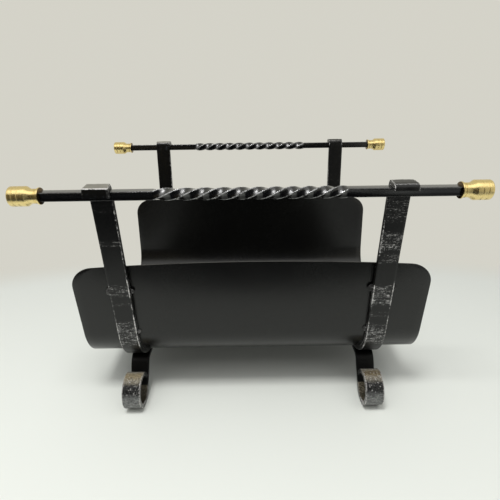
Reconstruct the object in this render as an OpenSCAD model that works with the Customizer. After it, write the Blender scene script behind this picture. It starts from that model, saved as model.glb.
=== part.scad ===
// Fireside log holder: a sheet tray in two flat-bar hoops, with two twisted rails, brass knobs
// and scrolled feet. X runs along the tray, the front faces -Y, and the feet stand on z = 0.

/* [Rails] */
// Length of each square rail, without its knobs
rail_length = 421; // [380:1:560]
// Side of the square bar
rail_section = 9.5; // [8.5:0.5:13]
// Width of the small bevel along the bar's edges
rail_bevel = 0.8; // [0.4:0.1:1.2]
// Height of the rail centres above the floor
rail_height = 288; // [270:1:340]
// Distance between the centres of the two rails
rail_spacing = 342; // [310:1:400]
// Length of the twisted middle
twist_length = 196; // [120:1:240]
// Quarter turns in the twist
twist_quarters = 11; // [5:1:15]

/* [Hoops] */
// Distance between the middles of the two hoops
hoop_spacing = 306; // [270:1:330]
// Width of the flat bar in the hoops and feet
strap_width = 23.5; // [18:0.5:28]
// Thickness of the flat bar
strap_thickness = 6; // [4:0.5:7]
// Inside radius of a hoop's two lower bends
bend_radius = 54; // [40:1:66]
// Outward lean of the hoop arms, in degrees
arm_flare = 5.5; // [0:0.5:10]
// Height of the hoops' undersides above the floor
hoop_clearance = 50; // [46:1:70]
// How far a curl reaches down the rail's outer face
curl_lap = 5; // [2:0.5:8]

/* [Tray] */
// Length of the sheet tray
tray_length = 418; // [370:1:520]
// Height of the tray's top edges above the floor
tray_top = 197; // [170:1:230]
// Thickness of the sheet
sheet_thickness = 2; // [1.5:0.5:4]
// Radius of the tray's four upper corners
tray_corner = 25; // [8:1:40]
// Gap between the tray and the hoops
tray_gap = 0.2; // [0.1:0.1:0.5]

/* [Feet] */
// Distance between the centres of a foot bar's two scroll eyes
eye_spacing = 300; // [280:1:316]
// Outside diameter of a scroll eye
eye_diameter = 46; // [42:1:54]
// Gap between an eye's tip and its leg
eye_gap = 0.5; // [0.3:0.1:1.5]
// Lean of the legs from upright, in degrees
leg_lean = 30; // [20:1:38]
// Inside radius where a leg leaves the hoop
leg_bend = 9; // [6:1:12]
// Depth of the flat where an eye stands on the floor
foot_flat = 0.3; // [0.2:0.1:0.6]

/* [Knobs] */
// Length of a knob
knob_length = 30.2; // [28:0.2:44]
// Diameter of a knob's body
knob_diameter = 20.4; // [17:0.2:24]
// Length of a knob's body
knob_body = 16.4; // [14:0.2:20]
// Length of the cone between body and neck
knob_cone = 4; // [3:0.5:7]
// Diameter of the neck
neck_diameter = 15; // [12:0.2:15.8]
// Diameter of the collar against the rail
collar_diameter = 17.4; // [16.4:0.2:20]
// Thickness of the collar
collar_thickness = 2; // [1.8:0.2:4]
// Small bevel on the knob's edges
knob_bevel = 1.4; // [0.4:0.1:1.4]
// Spacing of the body's grooves
groove_pitch = 5.4; // [5:0.1:7]
// Number of grooves round the body
groove_count = 2; // [1:1:2]
// Width of a groove
groove_width = 0.8; // [0.4:0.1:1.2]
// Depth of a groove
groove_depth = 0.4; // [0.2:0.1:0.8]

/* [Studs] */
// Diameter of the stud between rail and knob
stud_diameter = 5; // [4:0.5:6]
// Length of stud in the rail, and again in the knob
stud_reach = 13; // [9:1:18]
// Gap round the stud in its holes
stud_gap = 0.05; // [0.02:0.01:0.1]
// Space left past each end of the stud
stud_end_gap = 0.6; // [0.4:0.1:1]

/* [Welds] */
// Radius of a tack beside a hoop arm
tack_radius = 3.2; // [2:0.1:4]
// Length of a tack along the arm
tack_length = 8; // [7:0.5:12]
// Height of the upper tacks above the floor
upper_tack = 169; // [150:1:180]
// Height of the lower tacks above the floor
lower_tack = 112; // [108:1:130]
// Radius of the bead between a hoop and its foot bar
foot_bead = 3; // [2.5:0.1:3.5]
// Radius of the bead under a rail
rail_bead = 2.2; // [1.5:0.1:3]
// Width that each bead stops short of the flat bar's edges
bead_inset = 3; // [1:0.5:5]

/* [Hidden] */
$fn = 96;
// Largest turn between two points of a bent bar, in degrees
arc_step = 5;

paint = "#232426";
worn_paint = "#343537";
bare_steel = "#5c564c";
brass = "#c9a24a";
zinc = "#a9adb0";

LEFT = -1;
RIGHT = 1;
FRONT = -1;
BACK = 1;
eps = 0.01;

half_bar = rail_section / 2;
rail_y = rail_spacing / 2;

// Bends of the hoops: their centres lie where an arm's outer face, which meets the rail's
// inner face, is tangent to the outer radius
bend_outer = bend_radius + strap_thickness;
bend_z = hoop_clearance + bend_outer;
bend_y = rail_y
    + ((bend_z - rail_height) * sin(arm_flare) - half_bar - bend_outer) / cos(arm_flare);
tray_outer = bend_radius - tray_gap;

// Scroll eyes, and the bends where the legs leave the hoops
eye_outer = eye_diameter / 2;
eye_inner = eye_outer - strap_thickness;
eye_middle = eye_outer - strap_thickness / 2;
eye_y = eye_spacing / 2;
eye_z = eye_outer - foot_flat;
leg_bend_z = hoop_clearance - strap_thickness - leg_bend;
leg_bend_y = (eye_y * cos(leg_lean) + (eye_z - leg_bend_z) * sin(leg_lean)
    - eye_middle - leg_bend - strap_thickness / 2) / cos(leg_lean);
eye_start = 180 + leg_lean;
eye_end = eye_start + 360 - acos((eye_inner - eye_gap) / eye_outer);

// Where the groove between a hoop and its foot bar is wide enough for a bead
foot_bead_y = bend_y + bend_outer / 4;

stud_hole = stud_diameter + 2 * stud_gap;
hole_depth = stud_reach + stud_end_gap;
neck_end = knob_length - knob_body - knob_cone;

// A flat profile drawn in Y and Z, given its width along X
module across(width) {
    rotate([90, 0, 90])
        linear_extrude(width, center = true)
            children();
}

// A point given outward and up from the rail's centre, in the frame that leans with the arm
function at_rail(out, up) = [
    rail_y + out * cos(arm_flare) + up * sin(arm_flare),
    rail_height - out * sin(arm_flare) + up * cos(arm_flare)
];

function heading(angle) = [cos(angle), sin(angle)];

// Points along an arc, each with the direction of the bar's outward side: side is 1 where
// that side faces away from the arc's centre and -1 where it faces the centre
function arc_path(centre, radius, from, to, side) =
    let (steps = ceil(abs(to - from) / arc_step))
    [for (i = [0:steps])
        let (way = heading(from + (to - from) * i / steps))
        [centre + radius * way, side * way]];

// The other half of a path that starts on the middle line, run back from its end
function mirrored(path) = [for (i = [len(path) - 1:-1:1])
    [[-path[i][0][0], path[i][0][1]], [-path[i][1][0], path[i][1][1]]]];

// Bar or sheet of even thickness bent along a path
module band(path, thickness) {
    half = thickness / 2;
    polygon(concat(
        [for (p = path) p[0] + half * p[1]],
        [for (i = [len(path) - 1:-1:0]) path[i][0] - half * path[i][1]]
    ));
}

// From the middle of the base, round the bend and up the arm, at one depth in the U
function u_path(radius, arm_top) = concat(
    [[[0, bend_z - radius], [0, -1]]],
    arc_path([bend_y, bend_z], radius, -90, -arm_flare, 1),
    [[at_rail(radius - bend_outer - half_bar, arm_top), heading(-arm_flare)]]
);

// The curl: over the rail's top and down its outer face
curl_corner = half_bar - rail_bevel;
curl_radius = rail_bevel + strap_thickness / 2;
curl_path = concat(
    arc_path(at_rail(-curl_corner, curl_corner), curl_radius,
        180 - arm_flare, 90 - arm_flare, -1),
    arc_path(at_rail(curl_corner, curl_corner), curl_radius,
        90 - arm_flare, -arm_flare, -1),
    [[at_rail(half_bar + strap_thickness / 2, half_bar - curl_lap), -heading(-arm_flare)]]
);

half_hoop_path = concat(u_path(bend_radius + strap_thickness / 2, 0), curl_path);
hoop_path = concat(mirrored(half_hoop_path), half_hoop_path);

module hoop(side) {
    color(worn_paint)
        translate([side * hoop_spacing / 2, 0, 0])
            across(strap_width)
                band(hoop_path, strap_thickness);
}

half_tray_path = u_path(tray_outer - sheet_thickness / 2, 0);
tray_path = concat(mirrored(half_tray_path), half_tray_path);

// Sheet with its two walls cut to height and their corners rounded
module tray() {
    color(paint)
        intersection() {
            across(tray_length)
                band(tray_path, sheet_thickness);
            rotate([90, 0, 0])
                linear_extrude(2 * rail_spacing, center = true)
                    tray_side();
        }
}

// The tray's outline seen from the front
module tray_side() {
    corner_x = tray_length / 2 - tray_corner;
    union() {
        translate([-tray_length / 2, 0])
            square([tray_length, tray_top - tray_corner]);
        translate([-corner_x, 0])
            square([2 * corner_x, tray_top]);
        for (x = [-corner_x, corner_x])
            translate([x, tray_top - tray_corner])
                circle(r = tray_corner);
    }
}

// Half of a foot bar: flat under the hoop, bend, leg, and the eye it is rolled into
half_foot_path = concat(
    [[[0, hoop_clearance - strap_thickness / 2], [0, 1]]],
    arc_path([leg_bend_y, leg_bend_z], leg_bend + strap_thickness / 2, 90, leg_lean, 1),
    arc_path([eye_y, eye_z], eye_middle, eye_start, eye_end, -1)
);
foot_path = concat(mirrored(half_foot_path), half_foot_path);

module foot_profile() {
    intersection() {
        band(foot_path, strap_thickness);
        translate([-rail_spacing, 0])
            square([2 * rail_spacing, rail_height]);
    }
}

module foot_bar(side) {
    color(bare_steel)
        translate([side * hoop_spacing / 2, 0, 0])
            across(strap_width)
                foot_profile();
}

// Square section with bevelled edges
module bar_section() {
    intersection() {
        square(rail_section, center = true);
        rotate(45)
            square(sqrt(2) * (rail_section - rail_bevel), center = true);
    }
}

// Moves its children to a rail's centre, leaning with the arms that hold it
module at_rail_axis(side) {
    translate([0, side * rail_y, rail_height])
        rotate([-side * arm_flare, 0, 0])
            children();
}

module rail(side) {
    turn = 90 * twist_quarters;
    straight = (rail_length - twist_length) / 2;
    color(paint)
        at_rail_axis(side)
            difference() {
                rotate([90, 0, 90]) {
                    rotate(turn / 2)
                        translate([0, 0, -twist_length / 2])
                            linear_extrude(twist_length, twist = turn, slices = 6 * twist_quarters,
                                segments = 8)
                                bar_section();
                    for (end = [LEFT, RIGHT])
                        translate([0, 0, end * (twist_length + straight) / 2])
                            linear_extrude(straight, center = true)
                                bar_section();
                }
                for (end = [LEFT, RIGHT])
                    translate([end * rail_length / 2, 0, 0])
                        rotate([0, -end * 90, 0])
                            translate([0, 0, -eps])
                                cylinder(h = hole_depth + eps, d = stud_hole);
            }
}

// Lays its children along a rail's axis, starting at its end and pointing outward
module at_rail_end(side, end) {
    at_rail_axis(side)
        translate([end * rail_length / 2, 0, 0])
            rotate([0, end * 90, 0])
                children();
}

// Turned knob: collar, neck, cone and grooved body
module knob(side, end) {
    body = knob_diameter / 2;
    neck = neck_diameter / 2;
    collar = collar_diameter / 2;
    color(brass)
        at_rail_end(side, end)
            difference() {
                rotate_extrude()
                    polygon([
                        [0, 0],
                        [collar - knob_bevel / 2, 0],
                        [collar, knob_bevel / 2],
                        [collar, collar_thickness - knob_bevel / 2],
                        [collar - knob_bevel / 2, collar_thickness],
                        [neck, collar_thickness],
                        [neck, neck_end],
                        [body, neck_end + knob_cone],
                        [body, knob_length - knob_bevel],
                        [body - knob_bevel, knob_length],
                        [0, knob_length]
                    ]);
                for (i = [1:groove_count])
                    translate([0, 0, knob_length - i * groove_pitch])
                        groove(body);
                translate([0, 0, collar_thickness + knob_bevel + groove_width])
                    groove(neck);
                translate([0, 0, -eps])
                    cylinder(h = hole_depth + eps, d = stud_hole);
            }
}

// Ring that cuts a groove into a round of this radius
module groove(radius) {
    rotate_extrude()
        translate([radius - groove_depth, -groove_width / 2])
            square([groove_depth + knob_bevel, groove_width]);
}

module stud(side, end) {
    color(zinc)
        at_rail_end(side, end)
            translate([0, 0, -stud_reach])
                cylinder(h = 2 * stud_reach, d = stud_diameter);
}

// Tack in the corner between an arm's edge and the tray's wall
module tack() {
    rounds = (tack_length - 2 * tack_radius) / 2;
    intersection() {
        union() {
            for (z = [-rounds, rounds])
                translate([0, 0, z])
                    sphere(r = tack_radius);
            cylinder(h = 2 * rounds, r = tack_radius, center = true);
        }
        translate([0, 0, -tack_length])
            cube(2 * tack_length);
    }
}

module tray_tacks(side) {
    wall = half_bar + strap_thickness + tray_gap;
    color(worn_paint)
        for (face = [FRONT, BACK], edge = [LEFT, RIGHT], height = [upper_tack, lower_tack])
            translate([side * hoop_spacing / 2 + edge * strap_width / 2, 0, 0])
                at_rail_axis(face)
                    translate([0, -face * wall, (height - rail_height) / cos(arm_flare)])
                        mirror([edge == LEFT ? 1 : 0, 0, 0])
                            mirror([0, face == FRONT ? 1 : 0, 0])
                                tack();
}

// Beads in the grooves where a hoop curves up from its foot bar
module foot_welds(side) {
    color(worn_paint)
        translate([side * hoop_spacing / 2, 0, 0])
            across(strap_width - 2 * bead_inset)
                difference() {
                    for (y = [-foot_bead_y, foot_bead_y])
                        translate([y, hoop_clearance])
                            circle(r = foot_bead);
                    band(hoop_path, strap_thickness);
                    band(foot_path, strap_thickness);
                }
}

// Quarter round that fills the corner below and outward of its origin
module quarter_bead(radius) {
    intersection() {
        circle(r = radius);
        translate([0, -2 * radius])
            square(2 * radius);
    }
}

// Beads in the corners between a rail's underside and the arms that hold it
module rail_welds(side) {
    color(paint)
        for (x = [-hoop_spacing / 2, hoop_spacing / 2])
            translate([x, 0, 0])
                at_rail_axis(side)
                    across(strap_width - 2 * bead_inset)
                        mirror([side == FRONT ? 1 : 0, 0])
                            translate([-half_bar, -half_bar])
                                quarter_bead(rail_bead);
}

tray();
hoop(LEFT);  // left_hoop
hoop(RIGHT);  // right_hoop
foot_bar(LEFT);  // left_foot_bar
foot_bar(RIGHT);  // right_foot_bar
rail(FRONT);  // front_rail
rail(BACK);  // back_rail
knob(FRONT, LEFT);  // front_left_knob
knob(FRONT, RIGHT);  // front_right_knob
knob(BACK, LEFT);  // back_left_knob
knob(BACK, RIGHT);  // back_right_knob
stud(FRONT, LEFT);  // front_left_stud
stud(FRONT, RIGHT);  // front_right_stud
stud(BACK, LEFT);  // back_left_stud
stud(BACK, RIGHT);  // back_right_stud
tray_tacks(LEFT);  // left_tray_tacks
tray_tacks(RIGHT);  // right_tray_tacks
foot_welds(LEFT);  // left_foot_welds
foot_welds(RIGHT);  // right_foot_welds
rail_welds(FRONT);  // front_rail_welds
rail_welds(BACK);  // back_rail_welds
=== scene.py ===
import math

import bmesh
import bpy
from mathutils import Matrix, Vector


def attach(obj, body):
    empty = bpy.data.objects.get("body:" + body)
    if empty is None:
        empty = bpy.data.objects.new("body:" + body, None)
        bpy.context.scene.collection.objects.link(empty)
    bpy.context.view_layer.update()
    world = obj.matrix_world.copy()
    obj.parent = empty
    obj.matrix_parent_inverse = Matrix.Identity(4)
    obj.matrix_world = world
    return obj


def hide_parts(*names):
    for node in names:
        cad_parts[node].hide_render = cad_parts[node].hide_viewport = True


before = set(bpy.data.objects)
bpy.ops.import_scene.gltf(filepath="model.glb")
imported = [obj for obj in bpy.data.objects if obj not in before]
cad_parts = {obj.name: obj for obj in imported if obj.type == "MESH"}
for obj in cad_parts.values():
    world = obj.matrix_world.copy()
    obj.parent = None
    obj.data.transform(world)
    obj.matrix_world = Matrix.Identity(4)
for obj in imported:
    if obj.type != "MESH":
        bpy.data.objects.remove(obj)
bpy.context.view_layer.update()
mm = 0.001
hair = 0.01 * mm  # anything closer than this touches
rightAngle = math.pi / 2
print("frame loaded,", len(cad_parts), "nodes")

# the camera stands where the photograph was taken from
photoView = dict(
    place=Vector((-0.4, -565.1, 387.2)) * mm,
    lens=28.8,
    sensor=36,
    nearest=10 * mm,
    pitch=math.radians(22.23),  # down from level
    yaw=math.radians(-0.09),
    roll=math.radians(-0.85),
)
cameraData = bpy.data.cameras.new("photoCamera")
cameraData.lens = photoView["lens"]
cameraData.sensor_width = photoView["sensor"]
cameraData.clip_start = photoView["nearest"]
camera = bpy.data.objects.new("photoCamera", cameraData)
bpy.context.scene.collection.objects.link(camera)
bpy.context.scene.camera = camera
camera.matrix_world = (
    Matrix.Translation(photoView["place"])
    @ Matrix.Rotation(-photoView["yaw"], 4, "Z")
    @ Matrix.Rotation(rightAngle - photoView["pitch"], 4, "X")
    @ Matrix.Rotation(photoView["roll"], 4, "Z")
)
print("camera placed")


def clamped(value):
    return min(max(value, 0), 1)


def dropSelection():
    for thing in list(bpy.context.selected_objects):
        thing.select_set(False)


def choose(piece):
    dropSelection()
    piece.select_set(True)
    bpy.context.view_layer.objects.active = piece


def makeReal(piece):
    choose(piece)
    bpy.ops.object.transform_apply(location=True, rotation=True, scale=True)


def newForm(name, scale=(1, 1, 1)):
    # names the primitive that was just added, and makes its place and size real
    piece = bpy.context.object
    piece.name = name
    piece.scale = scale
    makeReal(piece)
    return piece


def enterEdit(piece):
    choose(piece)
    bpy.ops.object.mode_set(mode="EDIT")


def leaveEdit():
    bpy.ops.object.mode_set(mode="OBJECT")


def middleOf(part):
    if isinstance(part, bmesh.types.BMEdge):
        return (part.verts[0].co + part.verts[1].co) / 2
    return part.calc_center_median()


def pick(piece, kind, test):
    shape = bmesh.from_edit_mesh(piece.data)
    bpy.ops.mesh.select_mode(type=kind)
    bpy.ops.mesh.select_all(action="DESELECT")
    for part in dict(VERT=shape.verts, EDGE=shape.edges, FACE=shape.faces)[kind]:
        part.select_set(bool(test(part)))
    bmesh.update_edit_mesh(piece.data)


def runsAlong(edge, axis):
    way = edge.verts[1].co - edge.verts[0].co
    return abs(way[axis]) > 0.95 * way.length  # within 18 degrees


def moveVerts(piece, move):
    enterEdit(piece)
    for vert in bmesh.from_edit_mesh(piece.data).verts:
        move(vert)
    bmesh.update_edit_mesh(piece.data)
    leaveEdit()


def markRim(piece, test):
    # marks a bar's rounded corners, where the finishes wear, and where the gloss paint is also painted
    # lighter as a highlight
    shape = bmesh.from_edit_mesh(piece.data)
    rim = shape.verts.layers.float.new("rim")
    for vert in shape.verts:
        vert[rim] = test(vert.co)
    bmesh.update_edit_mesh(piece.data)


def pushOut(step, count=1):
    for turn in range(count):
        bpy.ops.mesh.extrude_region_move(TRANSFORM_OT_translate={"value": step / count})


def bendRound(center, angle, steps, axis):
    bpy.ops.mesh.spin(steps=steps, angle=angle, center=center, axis=axis)


def closeUp(piece):
    bpy.ops.mesh.select_all(action="SELECT")
    bpy.ops.mesh.remove_doubles(threshold=hair)
    bpy.ops.mesh.normals_make_consistent(inside=False)
    leaveEdit()


def addModifier(piece, kind, **settings):
    modifier = piece.modifiers.new(kind.lower(), kind)
    for name, value in settings.items():
        setattr(modifier, name, value)
    choose(piece)
    bpy.ops.object.modifier_apply(modifier=modifier.name)


def roughen(piece, texture, strength, level=1, **settings):
    # level is the grey that stays where it is, so at 1 the surface only sinks
    settings.update(texture=texture, texture_coords="GLOBAL", strength=strength, mid_level=level)
    addModifier(piece, "DISPLACE", **settings)


def smoothShade(piece, angle=35):
    choose(piece)
    bpy.ops.object.shade_smooth_by_angle(angle=math.radians(angle))


def copyOf(piece, name):
    twin = piece.copy()
    twin.data = piece.data.copy()
    twin.name = name
    bpy.context.scene.collection.objects.link(twin)
    return twin


def addCylinder(facets, radius, length, place):
    # along x
    dropSelection()
    bpy.ops.mesh.primitive_cylinder_add(
        vertices=facets, radius=radius, depth=length, location=place, rotation=(0, rightAngle, 0)
    )


def joinUp(pieces, name):
    dropSelection()
    for piece in pieces:
        piece.select_set(True)
    bpy.context.view_layer.objects.active = pieces[0]
    bpy.ops.object.join()
    pieces[0].name = name
    return pieces[0]


def cloudTexture(name, size, depth=2):
    texture = bpy.data.textures.new(name, "CLOUDS")
    texture.noise_scale = size
    texture.noise_depth = depth
    return texture


def standFor(piece, node):
    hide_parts(node)
    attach(piece, "root")


# sizes that the pieces share, as in the CAD source
build = dict(
    hoopX=153 * mm,
    railY=171 * mm,
    railZ=288 * mm,
    halfBar=4.75 * mm,
    railBevel=0.8 * mm,
    flare=math.radians(5.5),
    clearance=50 * mm,
    strapWidth=23.5 * mm,
    strapThickness=6 * mm,
    bendRadius=54 * mm,
)
barCorner = build["halfBar"] - build["railBevel"]  # a rail's flats end this far from their middle
bendOuter = build["bendRadius"] + build["strapThickness"]
bendZ = build["clearance"] + bendOuter
bendY = build["railY"] + (
    (bendZ - build["railZ"]) * math.sin(build["flare"]) - build["halfBar"] - bendOuter
) / math.cos(build["flare"])
bendAngle = rightAngle - build["flare"]
armWay = Vector((0, math.sin(build["flare"]), math.cos(build["flare"])))
outWay = Vector((0, math.cos(build["flare"]), -math.sin(build["flare"])))
towardUp = (-1, 0, 0)  # spin axis that turns +Y up to +Z
towardOut = (1, 0, 0)


def railPoint(out, up, x=0):
    return Vector((x, build["railY"], build["railZ"])) + out * outWay + up * armWay


strap = dict(
    corner=0.7 * mm,
    wideCuts=9,
    thinCuts=1,
    rimReach=0.735 * mm,  # the rim mark takes in a little more than the rounded corner
    wobble=0.25 * mm,
    wobbleSize=11 * mm,
)


def strapSection(name, height):
    # the flat bar's outline at y 0, which is then pushed and bent along its way
    dropSelection()
    bpy.ops.mesh.primitive_plane_add(size=1, location=(0, 0, height), rotation=(rightAngle, 0, 0))
    width, thickness = build["strapWidth"], build["strapThickness"]
    piece = newForm(name, (width, thickness, 1))
    enterEdit(piece)
    bpy.ops.mesh.select_all(action="SELECT")
    bpy.ops.mesh.bevel(offset=strap["corner"], segments=2, affect="VERTICES")
    pick(piece, "EDGE", lambda edge: edge.calc_length() > width / 2)
    bpy.ops.mesh.subdivide(number_cuts=strap["wideCuts"])
    pick(piece, "EDGE", lambda edge: runsAlong(edge, 2) and edge.calc_length() > thickness / 2)
    bpy.ops.mesh.subdivide(number_cuts=strap["thinCuts"])
    across = width / 2 - strap["rimReach"]
    through = thickness / 2 - strap["rimReach"]
    markRim(piece, lambda co: abs(co.x) > across and abs(co.z - height) > through)
    bpy.ops.mesh.select_mode(type="FACE")
    bpy.ops.mesh.select_all(action="SELECT")
    return piece


def mirrorStrap(piece):
    pick(piece, "FACE", lambda face: abs(middleOf(face).y) < hair and abs(face.normal.y) > 0.9)
    bpy.ops.mesh.delete(type="FACE")
    closeUp(piece)
    addModifier(piece, "MIRROR", use_axis=(False, True, False), merge_threshold=hair)


hoop = dict(
    flatSteps=9,
    bendSteps=17,
    armSteps=26,
    curlSteps=6,
    overSteps=3,
    lapSteps=2,
    lap=5 * mm,  # how far the tip reaches down the rail's outer face
    curlReach=14 * mm,  # a curl spreads over this distance
    tipFrom=build["halfBar"] - 0.1 * mm,  # what is further out than this belongs to the tip
    skin=1.5 * build["railBevel"],  # and further than this from the rail's corner, to its outer skin
    hammer=0.7 * mm,  # depth and size of the hammer marks on the curls, and the height they come in over
    hammerSize=6 * mm,
    hammerFade=6 * mm,
    # for each curl: how much wider its tip is, how far it slides along the rail, its part of the lap,
    # and how sharply it is folded over the rail's outer corner (1 is square)
    curls=dict(
        leftFront=(1.16, 1 * mm, 0.9, 0.6),
        leftBack=(1.04, 0, 1.0, 0.1),
        rightFront=(1.1, 1 * mm, 0.12, 0),
        rightBack=(1.06, 0.5 * mm, 0.85, 0.2),
    ),
)


def makeHoop():
    middle = build["bendRadius"] + build["strapThickness"] / 2
    bendEnd = Vector((0, bendY, bendZ)) + middle * outWay
    armEnd = railPoint(-build["halfBar"] - build["strapThickness"] / 2, barCorner)
    piece = strapSection("hoopBar", bendZ - middle)
    pushOut(Vector((0, bendY, 0)), hoop["flatSteps"])
    bendRound((0, bendY, bendZ), bendAngle, hoop["bendSteps"], towardUp)
    pushOut(armEnd - bendEnd, hoop["armSteps"])
    bendRound(railPoint(-barCorner, barCorner), rightAngle, hoop["curlSteps"], towardOut)
    pushOut(2 * barCorner * outWay, hoop["overSteps"])
    bendRound(railPoint(barCorner, barCorner), rightAngle, hoop["curlSteps"], towardOut)
    pushOut(-(barCorner + hoop["lap"] - build["halfBar"]) * armWay, hoop["lapSteps"])
    mirrorStrap(piece)
    return piece


def spreadCurl(piece, side, spread, slide, lapPart, fold):
    # the tip over a rail is hammered wider and a little to one side, and no two are equally long
    def spreadVert(vert):
        place = Vector((0, side * vert.co.y, vert.co.z)) - railPoint(0, 0)
        out, up = place.dot(outWay), place.dot(armWay)
        along = clamped((out + build["halfBar"]) / hoop["curlReach"])
        vert.co.x = vert.co.x * (1 + (spread - 1) * along) + slide * along
        lift = 0
        if out > hoop["tipFrom"] and up < barCorner:
            lift = (barCorner - up) * (1 - lapPart)
        away = Vector((0, out - barCorner, up - barCorner))
        if min(away.yz) > hair and away.length > hoop["skin"]:
            away *= fold * (away.length / max(away.yz) - 1)
            vert.co += away.y * Vector((0, side * outWay.y, outWay.z))
            lift = away.z
        vert.co += lift * Vector((0, side * armWay.y, armWay.z))

    moveVerts(piece, spreadVert)


def hammer(piece, groupName, weightOf, look):
    # hammer marks where weightOf a vertex is 1, fading to none where it is 0
    group = piece.vertex_groups.new(name=groupName)
    for vert in piece.data.vertices:
        group.add([vert.index], clamped(weightOf(vert.co)), "REPLACE")
    texture = cloudTexture(piece.name + "Hammer", look["hammerSize"], 1)
    roughen(piece, texture, look["hammer"], vertex_group=groupName)


def placeStrap(piece, name, side):
    piece.name = name
    piece.location.x = side * build["hoopX"]
    makeReal(piece)
    roughen(piece, cloudTexture(name + "Wobble", strap["wobbleSize"]), strap["wobble"])
    smoothShade(piece)


leftHoop = makeHoop()
rightHoop = copyOf(leftHoop, "rightHoopBar")
for piece, side in ((leftHoop, "left"), (rightHoop, "right")):
    spreadCurl(piece, -1, *hoop["curls"][side + "Front"])
    spreadCurl(piece, 1, *hoop["curls"][side + "Back"])
placeStrap(leftHoop, "leftHoopBar", -1)
placeStrap(rightHoop, "rightHoopBar", 1)
for piece in (leftHoop, rightHoop):
    # only what stands above the rails' middle is hammered
    hammer(piece, "curls", lambda co: (co.z - build["railZ"]) / hoop["hammerFade"], hoop)
    smoothShade(piece)
standFor(leftHoop, "left_hoop")
standFor(rightHoop, "right_hoop")
print("hoops made")

foot = dict(
    eyeY=150 * mm,
    eyeZ=22.7 * mm,
    eyeMiddle=20 * mm,
    gap=0.5 * mm,
    lean=math.radians(30),
    bend=9 * mm,
    flatSteps=10,
    bendSteps=8,
    legSteps=5,
    eyeSteps=64,
    floor=0.02 * mm,  # an eye's narrow flat lies this high
    hammer=0.65 * mm,
    hammerSize=3.8 * mm,
    hammerReach=30 * mm,  # the hammer marks end this far from an eye's middle
    hammerFade=6 * mm,
)


def makeFootBar():
    half = build["strapThickness"] / 2
    middle = build["clearance"] - half
    outward, upward = math.cos(foot["lean"]), math.sin(foot["lean"])  # square to the leg
    turn = foot["bend"] + half
    cornerZ = middle - turn
    cornerY = (
        foot["eyeY"] * outward + (foot["eyeZ"] - cornerZ) * upward - foot["eyeMiddle"] - turn
    ) / outward
    bendEnd = Vector((0, cornerY + turn * outward, cornerZ + turn * upward))
    eyeStart = Vector(
        (0, foot["eyeY"] - foot["eyeMiddle"] * outward, foot["eyeZ"] - foot["eyeMiddle"] * upward)
    )
    inner = foot["eyeMiddle"] - half
    outer = foot["eyeMiddle"] + half
    sweep = 2 * math.pi - math.acos((inner - foot["gap"]) / outer)  # the tip stops short of the leg
    piece = strapSection("footBar", middle)
    pushOut(Vector((0, cornerY, 0)), foot["flatSteps"])
    bendRound((0, cornerY, cornerZ), rightAngle - foot["lean"], foot["bendSteps"], towardOut)
    pushOut(eyeStart - bendEnd, foot["legSteps"])
    bendRound((0, foot["eyeY"], foot["eyeZ"]), sweep, foot["eyeSteps"], towardUp)
    mirrorStrap(piece)
    return piece


def fromEye(co):
    return math.hypot(abs(co.y) - foot["eyeY"], co.z - foot["eyeZ"])


def hammerEyes(piece):
    # only the eyes are hammered, and each stands on its narrow flat
    hammer(piece, "eyes", lambda co: (foot["hammerReach"] - fromEye(co)) / foot["hammerFade"], foot)
    enterEdit(piece)
    pick(piece, "VERT", lambda vert: vert.co.z < foot["floor"])
    bpy.ops.transform.resize(value=(1, 1, 0), center_override=(0, 0, foot["floor"]))
    leaveEdit()


leftFoot = makeFootBar()
rightFoot = copyOf(leftFoot, "rightFootBar")
for piece, name, side, node in (
    (leftFoot, "leftFootBar", -1, "left_foot_bar"),
    (rightFoot, "rightFootBar", 1, "right_foot_bar"),
):
    placeStrap(piece, name, side)
    hammerEyes(piece)
    smoothShade(piece)
    standFor(piece, node)
print("foot bars made")

tray = dict(
    length=418 * mm,
    top=197 * mm,
    sheet=2 * mm,
    corner=25 * mm,
    gap=0.2 * mm,
    edge=0.35 * mm,
    columns=42,
    flatRows=8,  # from the middle to a bend
    bendSteps=20,
    wallRows=7,
    cornerRows=12,
    lean=8 * mm,  # the middle of each wall leans in at the top
    lift=3 * mm,  # and stands higher
    bowHalf=198.9 * mm,  # from the middle to where a wall is straight again
    bowPower=1.5,  # above 1 the wall curves in most near its top
    foldAngle=math.radians(60),  # edges sharper than this are rounded
)


def raiseWall(start):
    # the wall rises straight, then each row is narrower, round its two upper corners
    cornerZ = tray["top"] - tray["corner"]
    halfLength = tray["length"] / 2
    rows = [
        (start + (cornerZ - start) * (row + 1) / tray["wallRows"], 1.0) for row in range(tray["wallRows"])
    ]
    for row in range(tray["cornerRows"]):
        turn = rightAngle * (row + 1) / tray["cornerRows"]
        height = cornerZ + tray["corner"] * math.sin(turn)
        rows.append((height, (halfLength - tray["corner"] * (1 - math.cos(turn))) / halfLength))
    before, wide = start, 1.0
    for height, width in rows:
        pushOut(armWay * (height - before) / armWay.z)
        bpy.ops.transform.resize(value=(width / wide, 1, 1), center_override=(0, 0, 0))
        before, wide = height, width


def bowVert(vert):
    up = clamped((vert.co.z - bendZ) / (tray["top"] - bendZ))
    bow = max(0, 1 - (vert.co.x / tray["bowHalf"]) ** 2) * up ** tray["bowPower"]
    vert.co.y -= math.copysign(tray["lean"] * bow, vert.co.y)
    vert.co.z += tray["lift"] * bow * up


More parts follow.
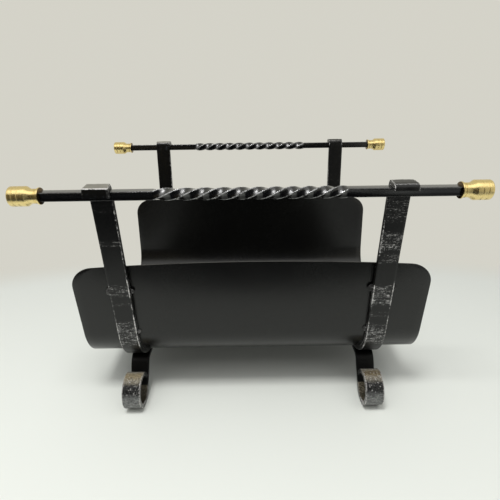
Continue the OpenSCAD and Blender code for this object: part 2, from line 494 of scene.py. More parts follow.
def makeTray():
    middle = build["bendRadius"] - tray["gap"] - tray["sheet"] / 2
    dropSelection()
    bpy.ops.mesh.primitive_plane_add(size=1, location=(0, bendY / 2, bendZ - middle))
    piece = newForm("traySheet", (tray["length"], bendY, 1))
    enterEdit(piece)
    pick(piece, "EDGE", lambda edge: runsAlong(edge, 0))
    bpy.ops.mesh.subdivide(number_cuts=tray["columns"] - 1)
    pick(piece, "EDGE", lambda edge: runsAlong(edge, 1))
    bpy.ops.mesh.subdivide(number_cuts=tray["flatRows"] - 1)
    pick(piece, "EDGE", lambda edge: runsAlong(edge, 0) and middleOf(edge).y > bendY - hair)
    bendRound((0, bendY, bendZ), bendAngle, tray["bendSteps"], towardUp)
    raiseWall(bendZ - middle * math.sin(build["flare"]))
    leaveEdit()
    addModifier(piece, "MIRROR", use_axis=(False, True, False), merge_threshold=hair)
    moveVerts(piece, bowVert)
    enterEdit(piece)
    closeUp(piece)
    addModifier(piece, "SOLIDIFY", thickness=tray["sheet"], offset=0, use_even_offset=True)
    edge = dict(width=tray["edge"], segments=2, limit_method="ANGLE", angle_limit=tray["foldAngle"])
    addModifier(piece, "BEVEL", **edge)
    smoothShade(piece)
    return piece


trayPiece = makeTray()
standFor(trayPiece, "tray")
print("tray made")

rail = dict(
    length=421 * mm,
    section=9.5 * mm,
    twistLength=196 * mm,
    quarters=11,
    parts=4,  # each edge of the twist's block is cut in these, and its length again in slices
    slices=33,
    slip=5.5 * mm,  # the front rail's middle turns sit this far to the right, so its left turns are longer
    skew=0.45,  # and the turns to the left of them slip more than those to the right
    straightSteps=4,
    hole=5.1 * mm,
    holeDepth=13.6 * mm,
    holeFacets=24,
)


def makeRail():
    dropSelection()
    bpy.ops.mesh.primitive_cube_add(size=1)
    piece = newForm("railBar", (rail["twistLength"], rail["section"], rail["section"]))
    enterEdit(piece)
    bpy.ops.mesh.select_all(action="SELECT")
    bpy.ops.mesh.subdivide(number_cuts=rail["parts"] - 1)
    face = rail["section"] / 2 - hair
    pick(piece, "EDGE", lambda edge: abs(middleOf(edge).y) > face and abs(middleOf(edge).z) > face)
    bpy.ops.mesh.bevel(offset=build["railBevel"], segments=3, affect="EDGES")
    flat = barCorner - hair
    markRim(piece, lambda co: abs(co.y) > flat and abs(co.z) > flat)
    pick(piece, "EDGE", lambda edge: runsAlong(edge, 0))
    bpy.ops.mesh.subdivide(number_cuts=rail["slices"] - 1)
    leaveEdit()
    twist = -rightAngle * rail["quarters"]
    addModifier(piece, "SIMPLE_DEFORM", deform_method="TWIST", deform_axis="X", angle=twist)
    enterEdit(piece)
    bpy.ops.mesh.select_all(action="SELECT")
    bpy.ops.transform.rotate(value=rightAngle / 2, orient_axis="X", center_override=(0, 0, 0))
    straight = (rail["length"] - rail["twistLength"]) / 2
    tip = rail["twistLength"] / 2 - hair
    for end in (-1, 1):
        pick(piece, "FACE", lambda face: end * middleOf(face).x > tip)
        pushOut(Vector((end * straight, 0, 0)), rail["straightSteps"])
    leaveEdit()
    for end in (-1, 1):
        drillHole(piece, end)
    smoothShade(piece)
    return piece


def drillHole(piece, end):
    railEnd = (end * rail["length"] / 2, 0, 0)
    addCylinder(rail["holeFacets"], rail["hole"] / 2, 2 * rail["holeDepth"], railEnd)
    drill = bpy.context.object
    addModifier(piece, "BOOLEAN", object=drill, operation="DIFFERENCE", solver="EXACT")
    bpy.data.objects.remove(drill)


def slipVert(vert):
    part = 2 * vert.co.x / rail["twistLength"]
    vert.co.x += rail["slip"] * max(1 - part * part, 0) * (1 - rail["skew"] * part)


def placeRail(piece, side):
    piece.rotation_euler.x = -side * build["flare"]
    piece.location = (0, side * build["railY"], build["railZ"])
    makeReal(piece)


frontRail = makeRail()
backRail = copyOf(frontRail, "backRailBar")
frontRail.name = "frontRailBar"
moveVerts(frontRail, slipVert)
placeRail(frontRail, -1)
placeRail(backRail, 1)
standFor(frontRail, "front_rail")
standFor(backRail, "back_rail")
print("rails made")

knob = dict(
    facets=96,
    bore=2.55 * mm,
    boreDepth=13.6 * mm,
    sharp=30,  # degrees, above which an edge stays sharp
    # its rings: distance from the rail and radius, both in mm
    neck=(
        (0.0, 8.2), (0.15, 8.5), (0.45, 8.68), (1.55, 8.7),
        (1.85, 8.55), (2.0, 8.2), (2.05, 7.9), (2.2, 7.6),
        (2.5, 7.5), (3.3, 7.5), (3.45, 7.2), (3.8, 7.08),
        (4.15, 7.2), (4.3, 7.5), (9.4, 7.5), (9.8, 7.62),
        (13.3, 9.9), (13.7, 10.12), (14.2, 10.2),
    ),
    barrel=10.2,
    grooves=(19.4, 24.8),  # the middles of the two grooves round the barrel
    # the shape of each: distance from its middle, and depth
    groove=((-0.45, 0), (-0.25, 0.25), (0, 0.42), (0.25, 0.25), (0.45, 0)),
    end=((28.9, 10.2), (29.45, 10.08), (29.85, 9.8), (30.1, 9.35), (30.2, 8.7), (30.2, 7.8), (30.2, 1.0)),
)


def makeKnob():
    # the bottom of the bore is pushed out to the rail, then grown ring by ring along the outside
    dropSelection()
    bpy.ops.mesh.primitive_circle_add(
        vertices=knob["facets"],
        radius=knob["bore"],
        fill_type="NGON",
        location=(knob["boreDepth"], 0, 0),
        rotation=(0, rightAngle, 0),
    )
    piece = newForm("knob")
    enterEdit(piece)
    bpy.ops.mesh.select_mode(type="FACE")
    bpy.ops.mesh.select_all(action="SELECT")
    x, radius = knob["boreDepth"] / mm, knob["bore"] / mm
    rings = [(0, radius), *knob["neck"]]
    for middle in knob["grooves"]:
        rings += [(middle + away, knob["barrel"] - depth) for away, depth in knob["groove"]]
    for nextX, nextRadius in rings + list(knob["end"]):
        pushOut(Vector(((nextX - x) * mm, 0, 0)))
        grow = nextRadius / radius
        bpy.ops.transform.resize(value=(1, grow, grow), center_override=(nextX * mm, 0, 0))
        x, radius = nextX, nextRadius
    closeUp(piece)
    smoothShade(piece, knob["sharp"])
    return piece


def placeKnob(piece, side, end):
    if end < 0:
        piece.rotation_euler.z = math.pi
    piece.location = (end * rail["length"] / 2, side * build["railY"], build["railZ"])
    makeReal(piece)


firstKnob = makeKnob()
knobs = []
for sideName, side in (("front", -1), ("back", 1)):
    for endName, end in (("Left", -1), ("Right", 1)):
        piece = copyOf(firstKnob, sideName + endName + "Knob")
        placeKnob(piece, side, end)
        standFor(piece, f"{sideName}_{endName.lower()}_knob")
        knobs.append(piece)
bpy.data.objects.remove(firstKnob)
print("knobs made")

weld = dict(
    heights=(166 * mm, 107 * mm),  # of the lumps that tack the tray to a hoop
    # radius on the outer and the inner edge of each hoop, at each height
    lumps=dict(
        left=((5.6 * mm, 3.6 * mm), (3.4 * mm, 3.6 * mm)),
        right=((4.4 * mm, 5.0 * mm), (3.4 * mm, 4.0 * mm)),
    ),
    lumpShape=(1.05, 0.9, 0.95),
    lumpDetail=4,
    lumpRough=1.5 * mm,
    lumpLevel=0.5,
    grain=2.6 * mm,
    trayFace=-10.95 * mm,  # the tray's outer face, from the rail's middle
    ripples=9,
    rippleRings=4,
    rippleDepth=0.07,  # part of the bead's radius
    taperRings=3,  # a bead swells from half its width over this many rings
    beadLength=17.5 * mm,
    beadFacets=20,
    beadRough=0.25,  # part of the bead's radius
    beadLevel=0.6,
    footBead=3 * mm,
    footBeadY=103.8 * mm,
    railBead=2.2 * mm,
    sharp=60,  # degrees
)


def makeLump(x, side, height, size):
    # an uneven lump of weld that lies flat on the tray's wall
    place = railPoint(weld["trayFace"], (height - build["railZ"]) / armWay.z, x)
    wall = Vector((0, side * outWay.y, outWay.z))
    place.y *= side
    dropSelection()
    bpy.ops.mesh.primitive_ico_sphere_add(subdivisions=weld["lumpDetail"], radius=size, location=place)
    piece = newForm("weldLump", weld["lumpShape"])
    roughen(piece, cloudTexture("weldLump", weld["grain"]), weld["lumpRough"], weld["lumpLevel"])

    def flattenVert(vert):
        vert.co -= wall * min((vert.co - place).dot(wall), 0)

    moveVerts(piece, flattenVert)
    return piece


def makeBead(radius, place):
    # a rippled bead of weld along x
    addCylinder(weld["beadFacets"], radius, weld["beadLength"], place)
    piece = newForm("weldBead")
    enterEdit(piece)
    rings = weld["ripples"] * weld["rippleRings"]
    pick(piece, "EDGE", lambda edge: runsAlong(edge, 0))
    bpy.ops.mesh.subdivide(number_cuts=rings - 1)
    start = place.x - weld["beadLength"] / 2
    for ring in range(rings + 1):
        x = start + weld["beadLength"] * ring / rings
        taper = clamped(0.5 + 0.5 * min(ring, rings - ring) / weld["taperRings"])
        ripple = 1 - weld["rippleDepth"] * (1 - math.sin(ring * rightAngle))
        pick(piece, "VERT", lambda vert: abs(vert.co.x - x) < hair)
        bpy.ops.transform.resize(value=(1, taper * ripple, taper * ripple), center_override=place)
    leaveEdit()
    texture = cloudTexture("weldBead", weld["grain"], 1)
    roughen(piece, texture, radius * weld["beadRough"], weld["beadLevel"])
    return piece


tacks, footWelds = [], []
for hoopName, hoopSide in (("left", -1), ("right", 1)):
    hoopX = hoopSide * build["hoopX"]
    lumps, beads = [], []
    for side in (-1, 1):
        for height, sizes in zip(weld["heights"], weld["lumps"][hoopName]):
            for edge, size in zip((hoopSide, -hoopSide), sizes):
                lumps.append(makeLump(hoopX + edge * build["strapWidth"] / 2, side, height, size))
    tacks.append(joinUp(lumps, hoopName + "TrayWelds"))
    standFor(tacks[-1], hoopName + "_tray_tacks")
    for side in (-1, 1):
        place = Vector((hoopX, side * weld["footBeadY"], build["clearance"]))
        beads.append(makeBead(weld["footBead"], place))
    footWelds.append(joinUp(beads, hoopName + "FootWelds"))
    standFor(footWelds[-1], hoopName + "_foot_welds")
railWelds = []
for sideName, side in (("front", -1), ("back", 1)):
    beads = []
    for end in (-1, 1):
        place = railPoint(-build["halfBar"], -build["halfBar"], end * build["hoopX"])
        place.y *= side
        beads.append(makeBead(weld["railBead"], place))
    railWelds.append(joinUp(beads, sideName + "RailWelds"))
    standFor(railWelds[-1], sideName + "_rail_welds")
for piece in tacks + footWelds + railWelds:
    smoothShade(piece, weld["sharp"])
print("welds made")


class Wire:
    # one socket in a node tree: maths on it adds the Math nodes
    def __init__(self, nodes, socket):
        self.nodes = nodes
        self.socket = socket

    def maths(self, operation, *values):
        return self.nodes.node("ShaderNodeMath", dict(operation=operation), values)

    def __add__(self, other):
        return self.maths("ADD", self, other)

    def __radd__(self, other):
        return self.maths("ADD", other, self)

    def __sub__(self, other):
        return self.maths("SUBTRACT", self, other)

    def __rsub__(self, other):
        return self.maths("SUBTRACT", other, self)

    def __mul__(self, other):
        return self.maths("MULTIPLY", self, other)

    def __truediv__(self, other):
        return self.maths("DIVIDE", self, other)

    def __pow__(self, other):
        return self.maths("POWER", self, other)

    def __abs__(self):
        return self.maths("ABSOLUTE", self)

    def most(self, other):
        return self.maths("MAXIMUM", self, other)

    def least(self, other):
        return self.maths("MINIMUM", self, other)

    def swing(self, amount):
        # noise from 0 to 1 now goes half this amount both ways from 0
        return (self - 0.5) * amount

    def between(self, low, high):
        # 0 below low, 1 above high, smooth between; low may be the larger
        return self.nodes.node(
            "ShaderNodeMapRange",
            dict(interpolation_type="SMOOTHSTEP"),
            {"Value": self, "From Min": low, "From Max": high},
        )


class Nodes:
    # the nodes of a material or of the world
    def __init__(self, tree):
        self.tree = tree

    def node(self, kind, settings=None, sockets=(), output=0):
        made = self.tree.nodes.new(kind)
        for name, value in (settings or {}).items():
            if name == "stops":
                for stop, (position, colour) in zip(made.color_ramp.elements, value):
                    stop.position, stop.color = position, colour
            else:
                setattr(made, name, value)
        pairs = sockets.items() if isinstance(sockets, dict) else enumerate(sockets)
        for key, value in pairs:
            self.join(value, made.inputs[key])
        return Wire(self, made.outputs[output])

    def join(self, value, socket):
        if isinstance(value, Wire):
            self.tree.links.new(value.socket, socket)
        else:
            socket.default_value = value

    def blend(self, amount, first, second):
        return self.node("ShaderNodeMix", dict(data_type="RGBA"), {0: amount, 6: first, 7: second}, 2)


class Finish(Nodes):
    def __init__(self, name, **plain):
        self.material = bpy.data.materials.new(name)
        self.material.use_nodes = True
        super().__init__(self.material.node_tree)
        self.shader = self.tree.nodes["Principled BSDF"]
        self.feed(**plain)
        self.place = self.node("ShaderNodeTexCoord", output="Object")

    def feed(self, **values):
        for name, value in values.items():
            self.join(value, self.shader.inputs[name.replace("_", " ")])

    def axes(self):
        return [self.node("ShaderNodeSeparateXYZ", None, [self.place], output) for output in range(3)]

    def cells(self, size, stretch, shift):
        # the place counted in cells of this size in metres; stretch makes a cell longer that many times
        scale = [1 / (size * part) for part in stretch]
        return self.node("ShaderNodeMapping", None, dict(Vector=self.place, Location=shift, Scale=scale))

    def noise(self, size, detail, stretch=(1, 1, 1), shift=(0, 0, 0), roughness=0.5):
        place = self.cells(size, stretch, shift)
        sockets = dict(Vector=place, Scale=1, Detail=detail, Roughness=roughness)
        return self.node("ShaderNodeTexNoise", None, sockets)

    def dots(self, size, stretch=(1, 1, 1), shift=(0, 0, 0)):
        # one dot in each cell: a random number for the dot, and how far its middle is
        sockets = dict(Vector=self.cells(size, stretch, shift), Scale=1)
        away = self.node("ShaderNodeTexVoronoi", None, sockets)
        chance = self.node("ShaderNodeTexVoronoi", None, sockets, "Color")
        return self.node("ShaderNodeSeparateColor", None, [chance]), away

    def mark(self, name):
        return self.node("ShaderNodeAttribute", dict(attribute_name=name), output="Fac")

    def bump(self, height, strength, depth):
        sockets = dict(Strength=strength, Distance=depth, Height=height)
        self.feed(Normal=self.node("ShaderNodeBump", None, sockets))

    def put(self, *pieces):
        for piece in pieces:
            piece.data.materials.clear()
            piece.data.materials.append(self.material)


def shade(level, warm=0.0):
    return (level * (1 + warm), level, level * (1 - warm), 1)


satin = dict(
    black=shade(0.002),
    dusty=(0.004, 0.00412, 0.00352, 1),
    specular=0.43,
    roughness=0.26,
    patchSize=70 * mm,
    grainSize=0.7 * mm,
    grainDepth=0.05 * mm,
    chip=shade(0.3),
    chipSpacing=26 * mm,
    chipSize=0.13,  # part of the spacing
    chipRarity=0.72,  # the part of the cells with no chip in them
)


def paintSatin():
    finish = Finish("satinPaint", Specular_IOR_Level=satin["specular"])
    patch = finish.noise(satin["patchSize"], 3)
    grain = finish.noise(satin["grainSize"], 2)
    chance, away = finish.dots(satin["chipSpacing"])
    chips = (chance * satin["chipSize"] - away - satin["chipSize"] * satin["chipRarity"]).between(0, 0.03)
    colour = finish.blend(patch, satin["black"], satin["dusty"])
    finish.feed(
        Base_Color=finish.blend(chips * 0.8, colour, satin["chip"]),
        Roughness=satin["roughness"] + patch.swing(0.1) + grain.swing(0.08),
    )
    finish.bump(grain, 0.25, satin["grainDepth"])
    finish.put(trayPiece)


paintSatin()

# the paint of the two hoops
worn = dict(
    specular=0.36,
    raggedSize=2.6 * mm,
    fineSize=0.6 * mm,
    rowSize=1.5 * mm,
    rowStretch=(26, 26, 1),
    breakSize=3 * mm,
    strokeSize=0.9 * mm,
    strokeStretch=(7, 1, 4),
    patchSize=5 * mm,
    markSpacing=0.8 * mm,
    dashStretch=(5, 2, 1),
    fleckStretch=(1.5, 1.4, 0.85),
    depth=0.12 * mm,
    # each pair is where a zone starts and where it is full
    innerFace=(-7.5 * mm, -8 * mm),  # outward from the rail's middle
    aboveBend=(115 * mm, 125 * mm),
    innerHalf=(build["hoopX"] + 2 * mm, build["hoopX"] - 2 * mm),
    strapSide=(12.6 * mm, 12 * mm),  # from a hoop's middle; the weld lumps are beyond it
    curlTop=(296.5 * mm, 296.8 * mm),
    lipFrom=(296.2 * mm, 296.5 * mm),
    lipTo=(297.3 * mm, 296.9 * mm),
    smearFrom=(284 * mm, 286 * mm),
    smearTo=(293 * mm, 290 * mm),
    ledgeSway=1.8 * mm,
    black=shade(0.002),
    dust=shade(0.014),
    scuff=shade(0.2, 0.02),
    brightScuff=shade(0.5, 0.02),
    smear=(0.022, 0.025, 0.028, 1),
    bareTop=(0.21, 0.2, 0.165, 1),
    bareEdge=shade(0.75, 0.02),
    # each band of wear is a height and a half width in mm, and a strength
    left=dict(
        place=0,
        scuffs=(
            (231, 5, 0.55), (170, 11, 0.8), (153, 5, 0.4),
            (121, 8, 0.85), (102, 21, 1.0), (272, 8, 0.3),
        ),
        innerEdge=(
            (240, 55, 0.6), (150, 62, 0.6), (172, 14, 0.95),
            (106, 34, 0.95), (66, 16, 0.4), (296, 8, 0.5),
        ),
        outerEdge=((160, 34, 0.5), (106, 34, 0.9), (230, 14, 0.3), (296, 6, 0.4)),
        bareTop=1.0,
        lip=1.0,
        welds=0.35,
        sheen=0.29,
    ),
    right=dict(
        place=7,
        scuffs=(
            (265, 18, 0.65), (228, 16, 1.0), (208, 8, 0.75),
            (159, 19, 1.0), (132, 6, 0.5), (100, 24, 1.0),
        ),
        innerEdge=(
            (250, 60, 0.35), (232, 26, 0.4), (158, 22, 0.9),
            (98, 36, 0.85), (64, 14, 0.35), (295, 8, 0.6),
        ),
        outerEdge=((160, 26, 0.9), (112, 24, 0.8), (250, 40, 0.3), (295, 8, 0.6)),
        bareTop=0.12,
        lip=0.25,
        welds=0.1,
        sheen=0.33,
    ),
)


def bandsAt(z, bands):
    zone = 0.0
    for height, half, strength in bands:
        zone = (1 - (abs(z - height * mm) / (half * mm))).between(0, 0.5) * strength + zone
    return zone.least(1)


def wearHoop(name, look, *pieces):
    finish = Finish(name, Specular_IOR_Level=worn["specular"])
    x, y, z = finish.axes()
    place = look["place"]  # each hoop has its own part of the noise
    ragged = finish.noise(worn["raggedSize"], 5, roughness=0.65, shift=(place, 0, 0))
    fine = finish.noise(worn["fineSize"], 3, shift=(0, place, 0))
    rows = finish.noise(worn["rowSize"], 2, worn["rowStretch"], (0, 0, place))
    breaks = finish.noise(worn["breakSize"], 5, roughness=0.75, shift=(1, place, 0))
    strokes = finish.noise(worn["strokeSize"], 3, worn["strokeStretch"], (place, 1, 0), 0.6)
    patches = finish.noise(worn["patchSize"], 3, shift=(3, 1, place))
    chance, away = finish.dots(worn["markSpacing"], worn["dashStretch"], (place, 0, 0))
    dashes = chance - away
    chance, away = finish.dots(worn["markSpacing"], worn["fleckStretch"], (0, place, 3))
    flecks = chance - away

    # where it wears: in bands, but less on an arm's inner face
    out = (abs(y) - build["railY"]) * math.cos(build["flare"])
    out = out - (z - build["railZ"]) * math.sin(build["flare"])
    armInside = out.between(*worn["innerFace"]) * z.between(*worn["aboveBend"])
    scuffZone = bandsAt(z, look["scuffs"]) * (1 - armInside * 0.8)
    inner = abs(x).between(*worn["innerHalf"])
    edgeZone = bandsAt(z, look["innerEdge"]) * inner + bandsAt(z, look["outerEdge"]) * (1 - inner)
    onStrap = abs(abs(x) - build["hoopX"]).between(*worn["strapSide"])

    # bare metal along the corners, broken up
    corner = (finish.mark("rim") + breaks.swing(0.5) + fine.swing(0.3)).between(0.7, 0.9)
    bare = (breaks.swing(3.2) + fine.swing(1.8) + edgeZone * 0.9 - 0.5).between(0, 0.7)
    bare = bare * corner * edgeZone.between(0, 0.2)

    # level scratches and flecks on the faces
    drift = rows.swing(1.6) + patches.swing(0.8) + fine.swing(0.6) + scuffZone * 0.35 - 0.62
    scuff = (dashes + drift).between(0, 0.3).most((flecks + drift).between(0.02, 0.32))
    scuff = scuff * scuffZone * (onStrap * 0.6 + 0.4)
    brightScuff = (flecks.most(dashes) + drift).between(0.35, 0.55) * scuffZone * onStrap
    # bright flecks on the weld lumps: bare specks, and painted highlights standing in for the lumps' pale
    # rims
    weldFlecksAndGlints = (fine * 0.6 + ragged * 0.6 - 0.58).between(0, 0.15) * (1 - onStrap) * look["welds"]

    # a curl's worn top, the bright lip round it, part bare edge and part painted highlight, and the grey
    # smears below it
    ledge = z + ragged.swing(worn["ledgeSway"])
    top = ledge.between(*worn["curlTop"]) * look["bareTop"]
    lip = (ragged * 0.6 + fine * 0.5 - 0.46).between(0, 0.1) * look["lip"]
    lip = lip * ledge.between(*worn["lipFrom"]) * ledge.between(*worn["lipTo"])
    smear = (strokes + ragged.swing(0.8)).between(0.5, 0.7) * look["lip"]
    smear = smear * z.between(*worn["smearFrom"]) * z.between(*worn["smearTo"])

    dust = (patches - 0.1) * scuffZone
    colour = finish.blend(dust.between(0.05, 0.6) * 0.5, worn["black"], worn["dust"])
    colour = finish.blend(scuff * 0.8, colour, worn["scuff"])
    colour = finish.blend(brightScuff.most(weldFlecksAndGlints), colour, worn["brightScuff"])
    colour = finish.blend(smear, colour, worn["smear"])
    colour = finish.blend(top * (0.1 + strokes * 1.4), colour, worn["bareTop"])
    colour = finish.blend(bare.most(lip) * 0.95, colour, worn["bareEdge"])
    dull = dust * 0.15 + scuff * 0.1 + fine.swing(0.1) + (1 - onStrap) * 0.2
    finish.feed(
        Base_Color=colour,
        Metallic=bare.most(top * 0.6) * 0.4,
        Roughness=look["sheen"] + dull,
    )
    finish.bump(rows * 0.2 + ragged * 0.7 - bare * 0.4 - scuff * 0.3, 0.45, worn["depth"])
    finish.put(*pieces)


wearHoop("leftWornPaint", worn["left"], leftHoop, tacks[0], footWelds[0])
wearHoop("rightWornPaint", worn["right"], rightHoop, tacks[1], footWelds[1])

gloss = dict(
    black=shade(0.002),
    # the rims' lighter colour, for rubbed paint and for a painted highlight on the twist's ridges
    rubbedAndHighlit=shade(0.32),
    specular=0.28,
    roughness=0.18,
    coatRoughness=0.2,
    dripSize=5 * mm,
    peelSize=1.1 * mm,
    breakSize=3 * mm,
    depth=0.12 * mm,
    coat=(-2.8 * mm, -0.3 * mm),  # from the rail's middle up; the undersides are duller
    twistEnd=2 * mm,  # the edge wear and painted highlight come in over this length
    endWearAndHighlight=0.1,  # the part of the edge wear and painted highlight that the straight ends have
)


def paintGloss():
    finish = Finish(
        "glossPaint", Specular_IOR_Level=gloss["specular"], Coat_Roughness=gloss["coatRoughness"]
    )
    x, y, z = finish.axes()
    drips = finish.noise(gloss["dripSize"], 2)
    peel = finish.noise(gloss["peelSize"], 1)  # like the skin of an orange
    twistEnd = rail["twistLength"] / 2
    twisted = abs(x).between(twistEnd, twistEnd - gloss["twistEnd"])
    breaks = finish.noise(gloss["breakSize"], 4)
    # the rims are painted lighter: partly rubbed paint, partly a painted highlight along the twist's ridges
    rubbedAndHighlit = finish.mark("rim").between(0.7, 1) * breaks.between(0.3, 0.6)
    rubbedAndHighlit = rubbedAndHighlit * (twisted * (1 - gloss["endWearAndHighlight"]) + gloss["endWearAndHighlight"])
    finish.feed(
        Base_Color=finish.blend(rubbedAndHighlit * 0.8, gloss["black"], gloss["rubbedAndHighlit"]),
        Roughness=gloss["roughness"] + drips.swing(0.1) + rubbedAndHighlit * 0.2,
        Coat_Weight=(z - build["railZ"]).between(*gloss["coat"]),
    )
    finish.bump(drips * 0.6 + peel * 0.4, 0.2, gloss["depth"])
    finish.put(frontRail, backRail, *railWelds)


paintGloss()

forged = dict(
    specular=0.22,
    scaleSize=2.2 * mm,
    fineSize=0.6 * mm,
    creaseSize=1.1 * mm,
    creaseStretch=(1, 3, 3),
    streakSize=0.9 * mm,
    streakStretch=(8, 1, 1),
    speckSpacing=2.1 * mm,
    depth=0.35 * mm,
    # each pair is where a zone starts and where it is full
    eye=(28 * mm, 24.5 * mm),  # from an eye's middle
    inside=(19.5 * mm, 18 * mm),
    legInside=(-12 * mm, -14 * mm),  # outward from an eye's middle
    outerFace=(-4 * mm, 4 * mm),
    leftSide=(10 * mm, -10 * mm),
    side=(11 * mm, 11.5 * mm),  # from a foot bar's middle
    paintLine=(16.2 * mm, 16.8 * mm),  # inside an eye, the leg is black above this and bare below
    brown=(40 * mm, 44.5 * mm),
    # low down the eye is painted lighter, partly for wear and partly as a painted reflection of the floor
    wornReflectingFace=(35 * mm, 25 * mm),
    specks=(29 * mm, 33 * mm),
    beige=(45.3 * mm, 43.8 * mm),
    insideSlope=12,  # how fast an eye's inside lightens upward, per metre
    paint=shade(0.003),
    paintInside=shade(0.002),
    bright=shade(0.5, 0.02),
    bareEdge=shade(0.5, 0.03),
    # the two ends of each blend
    iron=(shade(0.008), shade(0.05)),
    # the lighter iron low down stands for wear and for a painted reflection of the floor
    wornReflectingIron=(shade(0.07), (0.255, 0.26, 0.255, 1)),
    brownRust=((0.08, 0.062, 0.036, 1), (0.33, 0.275, 0.17, 1)),
    beigeRust=((0.1, 0.092, 0.074, 1), (0.36, 0.34, 0.29, 1)),
    insideRust=((0.036, 0.032, 0.022, 1), (0.23, 0.2, 0.14, 1)),
)


def forgeFeet():
    finish = Finish("forgedSteel", Specular_IOR_Level=forged["specular"])
    x, y, z = finish.axes()
    offY = abs(y) - foot["eyeY"]
    offZ = z - foot["eyeZ"]
    reach = (offY * offY + offZ * offZ) ** 0.5
    scale = finish.noise(forged["scaleSize"], 5, roughness=0.65)
    fine = finish.noise(forged["fineSize"], 3)
    creases = finish.noise(forged["creaseSize"], 4, forged["creaseStretch"], roughness=0.6)
    streaks = finish.noise(forged["streakSize"], 4, forged["streakStretch"])
    chance, away = finish.dots(forged["speckSpacing"])

    # zones: the eye, its inside, its top and its worn outer face low down, painted lighter for wear and as
    # a painted reflection of the pale floor
    level = z + scale.swing(5) * mm
    eye = reach.between(*forged["eye"])
    inside = reach.between(*forged["inside"])
    top = level.between(*forged["brown"])
    wornReflectingFace = level.between(*forged["wornReflectingFace"])
    black = (z + scale.swing(2) * mm).between(*forged["paintLine"])
    legBlack = offY.between(*forged["legInside"]) * black
    leftSide = x.between(*forged["leftSide"])

    # bare edges and bright marks
    side = abs(abs(x) - build["hoopX"]).between(*forged["side"])
    edge = (finish.mark("rim").most(side * 0.8) + fine.swing(0.9)).between(0.55, 0.85)
    edge = edge * (scale + creases * 0.6 - 0.62).between(0, 0.25)
    edge = edge * eye * (offY.between(*forged["outerFace"]) * 0.75 + 0.25)
    specks = (chance - away + fine.swing(0.5) - 0.5).between(0, 0.15) * level.between(*forged["specks"])
    bright = (creases + scale.swing(0.9) + streaks.swing(0.6) - 0.68).between(0, 0.12)
    bright = bright.most(specks) * eye

    # the colours of the eye's outside
    # low on the eye the iron is painted lighter: wear, and a painted reflection of the pale floor
    wornReflectingIron = finish.blend((scale * 0.5 + streaks * 0.5).between(0.35, 0.65), *forged["wornReflectingIron"])
    iron = finish.blend(scale.between(0.35, 0.65), *forged["iron"])
    iron = finish.blend(wornReflectingFace, iron, wornReflectingIron)
    rust = (scale * 0.7 + fine * 0.3 + leftSide * 0.09).between(0.41, 0.69)
    rust = finish.blend(rust, *forged["brownRust"])
    beige = finish.blend(creases.between(0.32, 0.62), *forged["beigeRust"])
    rust = finish.blend((z + fine.swing(1.5) * mm).between(*forged["beige"]) * 0.7, rust, beige)
    colour = finish.blend(bright * 0.75, finish.blend(top, iron, rust), forged["bright"])

    # and of its inside, which is darker on the left
    within = (scale + offZ * forged["insideSlope"]).between(0.25, 0.6) * (1 - leftSide * 0.6)
    within = finish.blend(black, finish.blend(within, *forged["insideRust"]), forged["paintInside"])
    colour = finish.blend(inside, colour, within)
    colour = finish.blend(eye, forged["paint"], colour)
    colour = finish.blend(edge * 0.9, colour, forged["bareEdge"])
    finish.feed(
        Base_Color=finish.blend(legBlack, colour, forged["paintInside"]),
        Metallic=eye * (0.45 + bright * 0.2 - top * 0.3) * (1 - inside) * (1 - legBlack),
        Roughness=0.4 + eye * 0.04 + fine.swing(0.15),
    )
    finish.bump(scale + creases * 0.5 + fine * 0.3, 0.8, forged["depth"])
    finish.put(leftFoot, rightFoot)


forgeFeet()

brass = dict(
    fresh=(0.87, 0.7, 0.33, 1),
    tarnished=(0.8, 0.63, 0.27, 1),
    cut=(0.6, 0.44, 0.16, 1),  # in the marks that the lathe left
    dark=(0.15, 0.1, 0.05, 1),
    roughness=0.23,
    latheSize=0.3 * mm,
    latheStretch=(1, 60, 60),
    latheDepth=0.16 * mm,
    tarnishSize=9 * mm,
    # painted shade where it meets the rail, and in the step behind the collar, both from the rail's end
    joint=(0.35 * mm, 0.1 * mm),
    stepFrom=(1.9 * mm, 2.1 * mm),
    stepTo=(2.7 * mm, 2.5 * mm),
)


def turnBrass():
    finish = Finish("turnedBrass", Metallic=1)
    x, y, z = finish.axes()
    lathe = finish.noise(brass["latheSize"], 2, brass["latheStretch"])
    tarnish = finish.noise(brass["tarnishSize"], 3)
    along = abs(x) - rail["length"] / 2
    step = along.between(*brass["stepFrom"]) * along.between(*brass["stepTo"])
    shadow = along.between(*brass["joint"]).most(step * 0.6)
    colour = finish.blend(tarnish, brass["fresh"], brass["tarnished"])
    colour = finish.blend(lathe.between(0.6, 0.8) * 0.2, colour, brass["cut"])
    finish.feed(
        Base_Color=finish.blend(shadow, colour, brass["dark"]),
        Roughness=brass["roughness"] + tarnish.swing(0.08) + lathe * 0.08,
    )
    finish.bump(lathe, 1.0, brass["latheDepth"])
    finish.put(*knobs)


turnBrass()

plated = dict(
    dark=shade(0.45),
    light=shade(0.62),
    roughness=0.3,
    turnSize=0.5 * mm,
    turnStretch=(1, 40, 40),
    turnDepth=0.1 * mm,
)


def plateStuds():
    finish = Finish("platedSteel", Metallic=1)
    turns = finish.noise(plated["turnSize"], 1, plated["turnStretch"])
    finish.feed(
        Base_Color=finish.blend(turns, plated["dark"], plated["light"]),
        Roughness=plated["roughness"] + turns * 0.1,
    )
    finish.bump(turns, 0.4, plated["turnDepth"])
    finish.put(*[node for name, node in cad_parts.items() if name.endswith("_stud")])


plateStuds()
print("finishes made")

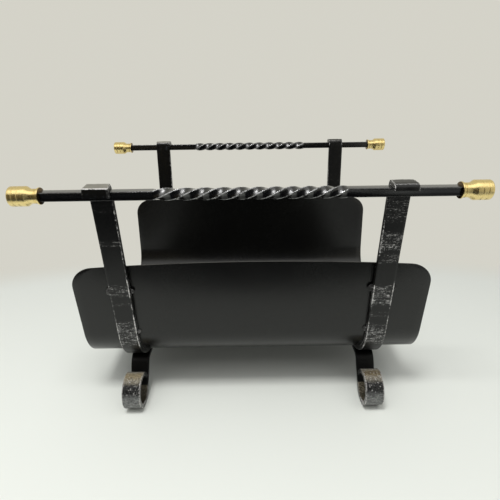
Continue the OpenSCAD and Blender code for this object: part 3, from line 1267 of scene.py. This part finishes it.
# places and sizes here are in metres
darkCard = (0.02, 0.022, 0.028, 1)
glintPlace, glintSize = (-0.2, -0.62, 1.6), (0.42, 0.36)
stage = dict(
    floorSize=16,
    floor=(0.8, 0.825, 0.77, 1),
    cloudSize=0.4,
    backdrop=(0.66, 0.648, 0.58, 1),
    middle=(0, -1.5, 0),  # the floor fades into the backdrop round this point
    fade=(1.745, 1.872),  # this far from it
    # the light from low down and from overhead: how high that is, from level to straight up, and its colour
    level=(0.1, (0.3, 0.3, 0.291, 1)),
    sky=(0.9, (0.42, 0.42, 0.42, 1)),
    # cards that only show as reflections: place, size, turn in degrees and colour
    cards=dict(
        tableEdgeCard=((-0.62, -1.06, 0.002), (1.96, 1.2), (0, 0, 0), darkCard),
        roomCard=((-1.0, -1.25, 0.6), (2.1, 1.2), (90, 0, -25), (0.12, 0.1, 0.07, 1)),
        standCard=((0.1, -1.1, 0.65), (0.9, 1.3), (90, 0, 0), darkCard),
        tableEndCard=((0.71, -0.9, 0.002), (0.56, 0.8), (0, 0, 0), (0.3, 0.31, 0.32, 1)),
    ),
    # place, size and watts; the glint stands where the key does, and only the rails mirror it
    ceilingPanel=((-0.1, -0.9, 1.6), (3.0, 1.45), 14),
    softKey=(glintPlace, glintSize, 14),
    glint=(glintPlace, glintSize, 52),
)


def makeFloor():
    dropSelection()
    bpy.ops.mesh.primitive_plane_add(size=stage["floorSize"])
    floor = newForm("studioFloor")
    finish = Finish("paleFloor", Roughness=0.75, Specular_IOR_Level=0.1)
    cloud = finish.noise(stage["cloudSize"], 2)
    finish.feed(Base_Color=finish.blend(cloud * 0.06, stage["floor"], stage["backdrop"]))
    places = [finish.place, stage["middle"]]
    away = finish.node("ShaderNodeVectorMath", dict(operation="DISTANCE"), places, "Value")
    plain = Wire(finish, finish.shader.outputs[0])
    lit = finish.node("ShaderNodeEmission", None, dict(Color=stage["backdrop"]))
    mixed = finish.node("ShaderNodeMixShader", None, [away.between(*stage["fade"]), plain, lit])
    finish.join(mixed, finish.tree.nodes["Material Output"].inputs["Surface"])
    finish.put(floor)


def makeCard(name, place, size, turn, colour):
    dropSelection()
    bpy.ops.mesh.primitive_plane_add(size=1, location=place, rotation=[math.radians(part) for part in turn])
    card = newForm(name, (*size, 1))
    finish = Finish(name, Base_Color=colour, Roughness=0.8, Specular_IOR_Level=0.1)
    finish.put(card)
    card.visible_camera = card.visible_diffuse = card.visible_shadow = card.visible_transmission = False


def lightWorld():
    # the object is lit from all round, and what is seen or mirrored is the plain backdrop
    world = bpy.data.worlds.new("studioWorld")
    bpy.context.scene.world = world
    world.use_nodes = True
    sky = Nodes(world.node_tree)
    ray = sky.node("ShaderNodeTexCoord", output="Generated")
    height = sky.node("ShaderNodeSeparateXYZ", None, [ray], "Z")
    light = sky.node("ShaderNodeValToRGB", dict(stops=(stage["level"], stage["sky"])), [height])
    kinds = ("Camera", "Glossy", "Transmission")
    seen, mirrored, through = [sky.node("ShaderNodeLightPath", output=f"Is {kind} Ray") for kind in kinds]
    colour = sky.blend(seen + (mirrored + through), light, stage["backdrop"])
    sky.join(colour, sky.tree.nodes["Background"].inputs["Color"])


def addLamp(name):
    place, size, power = stage[name]
    data = bpy.data.lights.new(name, "AREA")
    data.shape = "RECTANGLE"
    data.size, data.size_y = size
    data.energy = power
    lamp = bpy.data.objects.new(name, data)
    bpy.context.scene.collection.objects.link(lamp)
    lamp.location = place
    return lamp


makeFloor()
for name, look in stage["cards"].items():
    makeCard(name, *look)
lightWorld()
addLamp("ceilingPanel")
addLamp("softKey").visible_glossy = False
glint = addLamp("glint")
glint.visible_diffuse = False
glossPieces = bpy.data.collections.new("glossPieces")
for piece in (frontRail, backRail, *railWelds):
    glossPieces.objects.link(piece)
glint.light_linking.receiver_collection = glossPieces
bpy.context.scene.view_settings.view_transform = "Standard"
print("stage and lamps set")
